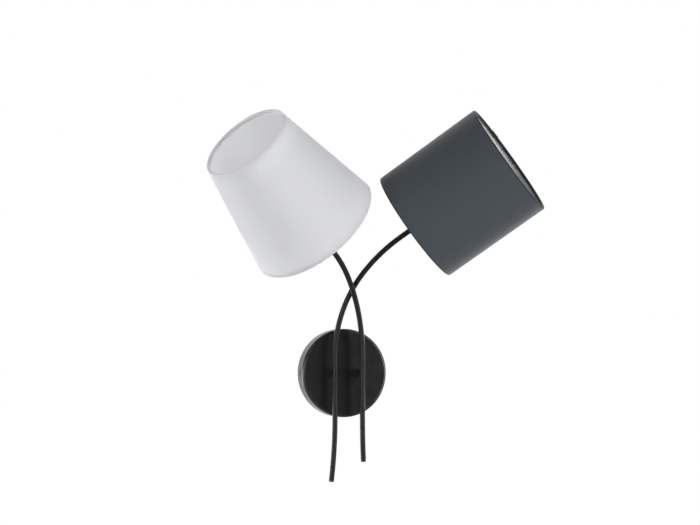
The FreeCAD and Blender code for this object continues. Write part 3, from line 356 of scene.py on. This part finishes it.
def cloth_material(name, colour, thread, sheen, face_height, hem_shade):
    """Plain weave on the piece's own UV map, which holds metres round and along the shade.

    The cloth past the height of the outer face is rolled into the hems, and its colour there is darkened
    as painted shade.
    """
    material, tree, shader = new_material(name, roughness=0.82, Sheen_Weight=sheen,
                                          Sheen_Roughness=0.4, Specular_IOR_Level=0.35)
    place = add_node(tree, "ShaderNodeUVMap", uv_map="cloth").outputs["UV"]
    axes = add_node(tree, "ShaderNodeSeparateXYZ", {"Vector": place})
    turns = math.pi / thread
    warp = calculate(tree, "SINE", calculate(tree, "MULTIPLY", axes.outputs["X"], turns))
    weft = calculate(tree, "SINE", calculate(tree, "MULTIPLY", axes.outputs["Y"], turns))
    crossing = calculate(tree, "MULTIPLY", warp, weft)
    weave = calculate(tree, "MULTIPLY_ADD", crossing, 0.5, 0.5)
    slubs = []
    for stretch in ((1.0, SLUB_SLIMNESS, 1.0), (SLUB_SLIMNESS, 1.0, 1.0)):
        mapping = add_node(tree, "ShaderNodeMapping", {"Vector": place, "Scale": stretch})
        noise = add_node(tree, "ShaderNodeTexNoise", {
            "Vector": mapping.outputs["Vector"], "Scale": SLUB_DENSITY / thread, "Detail": 2.0})
        slubs.append(noise.outputs["Fac"])
    slub = calculate(tree, "MULTIPLY", calculate(tree, "ADD", *slubs), 0.5)
    cloud = surface_noise(tree, CLOUD_SIZE, detail=2.0)
    shade = calculate(tree, "MULTIPLY", slub, SLUB_SHARE)
    shade = calculate(tree, "MULTIPLY_ADD", cloud, CLOUD_SHARE, shade)
    shade = calculate(tree, "MULTIPLY_ADD", weave, WEAVE_SHARE, shade)
    # Painted shade: past the outer face, in the rolled hems, the colour is multiplied by the hem shade.
    in_hem = calculate(tree, "GREATER_THAN", axes.outputs["Y"], face_height)
    tone = calculate(tree, "MULTIPLY_ADD", in_hem, hem_shade - 1.0, 1.0)
    tint(tree, shader, colour, shade, spread=0.1, tone=tone)
    vary_roughness(tree, shader, slub, spread=0.06)
    raise_surface(tree, shader, calculate(tree, "ADD", weave, slub), depth=0.02 * MM)
    return material


def film_material(name, colour):
    """Satin plastic film with slight waviness from the glue."""
    return grained_material(name, colour, roughness=0.5, grain=0.8 * MM, depth=0.004 * MM,
                            spread=0.02, IOR=1.5)


def give(material, *nodes):
    """Makes a material the only one of some CAD nodes."""
    for node in nodes:
        mesh = frame["nodes"][node].data
        mesh.materials.clear()
        mesh.materials.append(material)


def both(*pieces):
    """Names of pieces of the left and the right lamp."""
    return [f"{side}_{piece}" for side in SIDES for piece in pieces]


def seam_angles(seam, lap_angle, count=180, fine=10, reach=0.012):
    """Angles round a shade, in radians: an even ring, and a dense stretch over each lap edge."""
    ring = np.linspace(0.0, 2 * math.pi, count, endpoint=False)
    steps = np.linspace(-1.0, 1.0, fine) * reach
    dense = np.concatenate([seam + sign * lap_angle / 2 + steps for sign in (-1, 1)])
    return np.unique(np.round(np.concatenate([ring, dense % (2 * math.pi)]), 5))


def lap_profile(angles, seam, lap_angle, edge=0.008, gentle_edge=0.024):
    """Height of the lap from 0 to 1: a steep and a gentle tanh curve, in radians, at its edges."""
    from_seam = (angles - seam + math.pi) % (2 * math.pi) - math.pi
    rise = np.tanh((from_seam + lap_angle / 2) / edge)
    fall = np.tanh((lap_angle / 2 - from_seam) / gentle_edge)
    return np.clip((rise + fall) / 2, 0.0, 1.0)


def lap_round(cloth, side, low, high, rise):
    """Angles round a shade, how far its lap swells there, and the shade's mean radius."""
    mean_radius = (low[0] + high[0]) / 2
    seam = getattr(cloth, f"{side}_seam")
    lap_angle = cloth.lap / mean_radius
    angles = seam_angles(seam, lap_angle)
    return angles, rise * lap_profile(angles, seam, lap_angle), mean_radius


def grid_faces(rows, columns):
    """Faces of a grid that closes on itself both ways, each as four point numbers."""
    row = np.arange(rows)[:, None]
    column = np.arange(columns)[None, :]
    following, beside = (row + 1) % rows, (column + 1) % columns
    return np.stack(np.broadcast_arrays(
        row * columns + column, row * columns + beside,
        following * columns + beside, following * columns + column), axis=-1).reshape(-1, 4)


def lay_cloth_map(mesh, profile, angles, mean_radius):
    """UV map in metres: u is the mean radius times the angle, v the way along the profile."""
    lengths = np.linalg.norm(np.roll(profile, -1, axis=0) - profile, axis=1)
    way = np.concatenate([[0.0], np.cumsum(lengths)])
    turn = mean_radius * np.concatenate([angles, [angles[0] + 2 * math.pi]])
    corners = (len(profile), len(angles), 4)
    u = np.broadcast_to(np.stack([turn[:-1], turn[1:], turn[1:], turn[:-1]], axis=-1), corners)
    v = np.stack([way[:-1], way[:-1], way[1:], way[1:]], axis=-1)
    v = np.broadcast_to(v[:, None, :], corners)
    layer = mesh.uv_layers.new(name="cloth")
    layer.data.foreach_set("uv", np.stack([u, v], axis=-1).ravel())


def revolve_profile(name, side, profile, push, angles, swell, mean_radius):
    """Closed sheet: a closed profile (radius, height) turned round the lamp axis.

    The point at angle t and profile point p is
    origin + (r + s(t) n_r)(cos t level + sin t across) + (h + s(t) n_h) along,
    where s is the swell of the lap at t and (n_r, n_h) is the push direction at p.
    """
    origin, level, across, along = lamp_axes(side)
    radius = profile[:, 0][:, None] + push[:, 0][:, None] * swell
    height = profile[:, 1][:, None] + push[:, 1][:, None] * swell
    spread = np.cos(angles)[:, None] * level + np.sin(angles)[:, None] * across
    points = origin + radius[..., None] * spread + height[..., None] * along
    mesh = bpy.data.meshes.new(name)
    mesh.from_pydata(points.reshape(-1, 3), [], grid_faces(*radius.shape))
    mesh.update()
    lay_cloth_map(mesh, profile, angles, mean_radius)
    mesh.polygons.foreach_set("use_smooth", np.ones(len(mesh.polygons), bool))
    piece = bpy.data.objects.new(name, mesh)
    bpy.context.scene.collection.objects.link(piece)
    return piece


def arc_points(centre, radius, start, end, count):
    """Points on a circle from one angle to another, in radians."""
    angle = np.linspace(start, end, count)
    return centre + radius * np.stack([np.cos(angle), np.sin(angle)], axis=-1)


def cloth_profile(low, high, hem, cloth, roll, rows=28, curl=20):
    """Closed outline (radius, height) of the cloth, and the push direction of each point.

    It runs up the outer face, round the upper hem to its free lip, back inside the hem, down the
    inner face, round the lower hem inside, and out round it again. A hem is an arc of the roll.
    The lap pushes only the outside, away from the face or from the middle of the hem.
    """
    slant = math.atan2(low[0] - high[0], high[1] - low[1])
    outer, inner = hem / 2, hem / 2 - cloth
    face = np.array([math.cos(slant), math.sin(slant)])
    climb = np.linspace(0.0, 1.0, rows)[:-1, None]
    outer_face = low + outer * face + climb * (high - low)
    stretches = (
        (outer_face, 1.0),
        (arc_points(high, outer, slant, slant + roll, curl), 1.0),
        (arc_points(high, inner, slant + roll, slant, curl), 0.0),
        (high + inner * face + climb[1:] * (low - high), 0.0),
        (arc_points(low, inner, slant, slant - roll, curl), 0.0),
        (arc_points(low, outer, slant - roll, slant, curl)[:-1], 1.0),
    )
    outline = np.concatenate([points for points, _ in stretches])
    outside = np.concatenate([np.full(len(points), share) for points, share in stretches])
    centres = np.where(outline[:, 1:] > (low[1] + high[1]) / 2, high, low)
    push = outline - centres
    push /= np.linalg.norm(push, axis=1, keepdims=True)
    push[:len(outer_face)] = face
    return outline, push * outside[:, None]


def film_profile(low, high, film, rows=24):
    """Closed outline (radius, height) of the laminate, and the push direction of each point.

    The outline is a thin band, and its lap pushes only the inner face inwards.
    """
    slope = (high - low) / np.linalg.norm(high - low)
    face = np.array([slope[1], -slope[0]])
    climb = np.linspace(0.0, 1.0, rows)[:, None]
    outer = low + climb * (high - low)
    inner = high - film * face + climb * (low - high)
    push = np.concatenate([np.zeros((rows, 2)), np.tile(-face, (rows, 1))])
    return np.concatenate([outer, inner]), push


class SCONCE_OT_coated_metal(Operator):
    """Black powder coat, satin on the canopy and matt on stubs, arms and bushes"""
    bl_idname = "sconce.coated_metal"
    bl_label = "Coated metal"

    def execute(self, context):
        metal = context.scene.sconce_metal
        give(coat_material("satin black coat", metal.coat, metal.coat_roughness, metal.peel,
                           IOR=1.5), "canopy")
        give(coat_material("matt black coat", metal.tube_coat, metal.tube_roughness, metal.peel,
                           Specular_IOR_Level=0.18), *both("stub", "arm", "bush"))
        give(grained_material("black oxide", colour=(0.012, 0.012, 0.013), roughness=0.36,
                              grain=0.3 * MM, depth=0.006 * MM, metallic=0.6),
             "canopy_screw_left", "canopy_screw_right")
        give(grained_material("black plug plastic", colour=(0.012, 0.012, 0.012), roughness=0.45,
                              grain=0.4 * MM, depth=0.008 * MM, IOR=1.5), *both("arm_plug"))
        return {"FINISHED"}


class SCONCE_OT_fixings(Operator):
    """Zinc plate, brass and aluminium inside the canopy"""
    bl_idname = "sconce.fixings"
    bl_label = "Fixings"

    def execute(self, context):
        give(brushed_material("zinc plate", colour=(0.56, 0.57, 0.58), roughness=0.32,
                              stretch=(0.05, 1.0, 1.0)),
             "wall_bracket", "stub_nuts", "stub_washers", "terminal_screws")
        give(brushed_material("plain brass", colour=(0.75, 0.55, 0.26), roughness=0.28,
                              stretch=(1.0, 1.0, 0.1)),
             "terminal_inserts", "earth_screw", *both("centre_contact", "side_contact"))
        give(brushed_material("plain aluminium", colour=(0.74, 0.74, 0.75), roughness=0.35,
                              stretch=(1.0, 0.1, 1.0)), "terminal_rivets")
        return {"FINISHED"}


class SCONCE_OT_wiring(Operator):
    """Terminal block and insulated leads"""
    bl_idname = "sconce.wiring"
    bl_label = "Wiring"

    def execute(self, context):
        give(grained_material("terminal plastic", colour=(0.72, 0.72, 0.68), roughness=0.5,
                              grain=0.5 * MM, depth=0.01 * MM, Subsurface_Weight=0.1,
                              Subsurface_Scale=1.0 * MM), "terminal_block")
        for lead, colour in {"live_wire": (0.11, 0.035, 0.015),
                             "neutral_wire": (0.012, 0.07, 0.33)}.items():
            give(grained_material(f"{lead} insulation", colour, roughness=0.42, grain=0.6 * MM,
                                  depth=0.01 * MM, IOR=1.46), *both(lead))
        give(striped_lead_material(), "earth_wire")
        return {"FINISHED"}


class SCONCE_OT_lampholders(Operator):
    """Moulded plastic of the lampholders and shade rings"""
    bl_idname = "sconce.lampholders"
    bl_label = "Lampholders"

    def execute(self, context):
        give(grained_material("holder plastic", colour=(0.70, 0.70, 0.67), roughness=0.42,
                              grain=0.4 * MM, depth=0.008 * MM, IOR=1.5),
             *both("holder_cap", "holder_skirt", "shade_ring"))
        give(grained_material("holder core plastic", colour=(0.66, 0.65, 0.60), roughness=0.35,
                              grain=0.5 * MM, depth=0.006 * MM, IOR=1.54), *both("holder_core"))
        return {"FINISHED"}


class SCONCE_OT_shade_frames(Operator):
    """White coat on the wire frames of the shades"""
    bl_idname = "sconce.shade_frames"
    bl_label = "Shade frames"

    def execute(self, context):
        metal = context.scene.sconce_metal
        give(grained_material("white wire coat", metal.frame_coat, roughness=0.35,
                              grain=0.6 * MM, depth=0.01 * MM, IOR=1.5),
             *both("shade_frame", "shade_top_ring"))
        return {"FINISHED"}


class SCONCE_OT_shade_cloths(Operator):
    """Woven covers with rolled hems and a glued lap seam, in place of the plain covers"""
    bl_idname = "sconce.shade_cloths"
    bl_label = "Shade cloths"

    def execute(self, context):
        cloth = context.scene.sconce_cloth
        for side in SIDES:
            low, high = hem_centres(side, cloth.hem)
            lap = lap_round(cloth, side, low, high, cloth.lap_rise)
            outline, push = cloth_profile(low, high, cloth.hem, cloth.cloth, cloth.roll)
            piece = revolve_profile(f"{side}_shade_cloth", side, outline, push, *lap)
            # The hem setting of each side sets the painted shade on that cloth's hems.
            material = cloth_material(f"{side} shade cloth", getattr(cloth, f"{side}_colour"),
                                      cloth.thread, getattr(cloth, f"{side}_sheen"),
                                      np.linalg.norm(high - low), getattr(cloth, f"{side}_hem"))
            if side == "left":
                let_light_by(material, cloth.glow_colour, cloth.left_passes)
            piece.data.materials.append(material)
            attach(piece, f"{side}_shade")
            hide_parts(f"{side}_shade_cover")
        return {"FINISHED"}


class SCONCE_OT_shade_films(Operator):
    """Inner laminates with their own lap, in place of the plain linings"""
    bl_idname = "sconce.shade_films"
    bl_label = "Shade laminates"

    def execute(self, context):
        cloth = context.scene.sconce_cloth
        for side in SIDES:
            material = film_material(f"{side} shade laminate", cloth.film_colour)
            let_light_by(material, cloth.glow_colour, getattr(cloth, f"{side}_passes"))
            low, high = lining_ends(side, cloth.film / 2)
            lap = lap_round(cloth, side, low, high, cloth.film)
            outline, push = film_profile(low, high, cloth.film)
            piece = revolve_profile(f"{side}_shade_film", side, outline, push, *lap)
            piece.data.materials.append(material)
            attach(piece, f"{side}_shade")
            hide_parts(f"{side}_shade_lining")
        return {"FINISHED"}


def area_lamp(name, place, target, width, power):
    """Square soft lamp that looks at a point."""
    data = bpy.data.lights.new(name, "AREA")
    data.shape = "SQUARE"
    data.size = width
    data.energy = power
    lamp = bpy.data.objects.new(name, data)
    lamp.location = place
    lamp.rotation_euler = (Vector(target) - Vector(place)).to_track_quat("-Z", "Y").to_euler()
    bpy.context.scene.collection.objects.link(lamp)


def seen_directly(tree):
    """Two sockets: 1 for rays from the camera, and 1 for those that metal or glass sends on."""
    path = add_node(tree, "ShaderNodeLightPath").outputs
    mirrored = calculate(tree, "MAXIMUM", path["Is Glossy Ray"], path["Is Transmission Ray"])
    return path["Is Camera Ray"], mirrored


def behind_object(tree, along, start, end):
    """0 in front of the object and 1 behind it, smooth in between."""
    return add_node(tree, "ShaderNodeMapRange", {
        "Value": along, "From Min": start, "From Max": end},
        interpolation_type="SMOOTHSTEP").outputs["Result"]


def build_world():
    """Plain white to the camera, and behind the object to metal and glass too."""
    world = bpy.data.worlds.new("studio")
    bpy.context.scene.world = world
    world.use_nodes = True
    tree = world.node_tree
    way = add_node(tree, "ShaderNodeTexCoord").outputs["Generated"]
    axes = add_node(tree, "ShaderNodeSeparateXYZ", {"Vector": way})
    behind = behind_object(tree, axes.outputs["Y"], *WORLD_STEP)
    camera, mirrored = seen_directly(tree)
    strength = calculate(tree, "MAXIMUM", camera, calculate(tree, "MULTIPLY", mirrored, behind))
    background = tree.nodes["Background"]
    background.inputs["Color"].default_value = (1.0, 1.0, 1.0, 1.0)
    tree.links.new(strength, background.inputs["Strength"])


def floor_material(brightness):
    """White floor that keeps shadows and looks like the backdrop to camera and metal.

    Metal and glass see its part behind the object that way, as they see the world.
    """
    material, tree, shader = new_material("studio floor", roughness=0.9)
    tint(tree, shader, (0.85, 0.85, 0.85), surface_noise(tree, size=0.4), spread=0.01)
    glow = add_node(tree, "ShaderNodeEmission", {
        "Color": (1.0, 1.0, 1.0, 1.0), "Strength": brightness})
    camera, mirrored = seen_directly(tree)
    place = add_node(tree, "ShaderNodeTexCoord").outputs["Object"]
    across = add_node(tree, "ShaderNodeSeparateXYZ", {"Vector": place}).outputs["Y"]
    behind = behind_object(tree, across, *FLOOR_STEP)
    direct = calculate(tree, "MAXIMUM", camera, calculate(tree, "MULTIPLY", mirrored, behind))
    mix_surfaces(tree, shader.outputs["BSDF"], glow.outputs["Emission"],
                 calculate(tree, "MULTIPLY", direct, FLOOR_WHITE_SHARE))
    return material


class SCONCE_OT_stage(Operator):
    """Camera at the photographed angle, pale floor and soft studio light"""
    bl_idname = "sconce.stage"
    bl_label = "Stage"

    def execute(self, context):
        stage = context.scene.sconce_stage
        scene = context.scene
        scene.view_settings.view_transform = "Standard"
        build_world()
        half = stage.floor_size / 2
        mesh = bpy.data.meshes.new("floor")
        corners = [(x * half, y * half, stage.floor_level)
                   for x, y in ((-1, -1), (1, -1), (1, 1), (-1, 1))]
        mesh.from_pydata(corners, [], [(0, 1, 2, 3)])
        mesh.materials.append(floor_material(stage.floor_glow))
        floor = bpy.data.objects.new("floor", mesh)
        scene.collection.objects.link(floor)
        for name, (place, width) in LAMPS.items():
            area_lamp(name.replace("_", " "), place, LAMP_TARGET, width, getattr(stage, name))
        data = bpy.data.cameras.new("camera")
        data.lens = stage.lens
        data.clip_start = 0.05
        data.clip_end = 100.0
        camera = bpy.data.objects.new("camera", data)
        turn = Matrix.Rotation(-stage.camera_pan, 4, "Z") @ Matrix.Rotation(
            math.pi / 2 + stage.camera_tilt, 4, "X")
        camera.matrix_world = Matrix.Translation(stage.camera_place) @ turn
        scene.collection.objects.link(camera)
        scene.camera = camera
        return {"FINISHED"}


class SCONCE_PT_panel(Panel):
    """Pieces and stage of the wall light"""
    bl_label = "Sconce"
    bl_idname = "SCONCE_PT_panel"
    bl_space_type = "VIEW_3D"
    bl_region_type = "UI"
    bl_category = "Sconce"

    def draw(self, context):
        for group in ("sconce_cloth", "sconce_metal", "sconce_stage"):
            settings = getattr(context.scene, group)
            box = self.layout.box()
            for name in settings.__annotations__:
                box.prop(settings, name)
        for operator in OPERATORS:
            self.layout.operator(operator.bl_idname)


OPERATORS = (
    SCONCE_OT_stage,
    SCONCE_OT_coated_metal,
    SCONCE_OT_fixings,
    SCONCE_OT_wiring,
    SCONCE_OT_lampholders,
    SCONCE_OT_shade_frames,
    SCONCE_OT_shade_cloths,
    SCONCE_OT_shade_films,
)
SETTINGS = {
    "sconce_cloth": SconceClothSettings,
    "sconce_metal": SconceMetalSettings,
    "sconce_stage": SconceStageSettings,
}


def register():
    for kind in (*SETTINGS.values(), *OPERATORS, SCONCE_PT_panel):
        bpy.utils.register_class(kind)
    for name, settings in SETTINGS.items():
        setattr(bpy.types.Scene, name, PointerProperty(type=settings))


def unregister():
    for name in SETTINGS:
        delattr(bpy.types.Scene, name)
    for kind in reversed((*SETTINGS.values(), *OPERATORS, SCONCE_PT_panel)):
        bpy.utils.unregister_class(kind)


def main():
    register()
    for operator in OPERATORS:
        getattr(bpy.ops.sconce, operator.bl_idname.split(".")[1])()


if __name__ == "__main__":
    main()
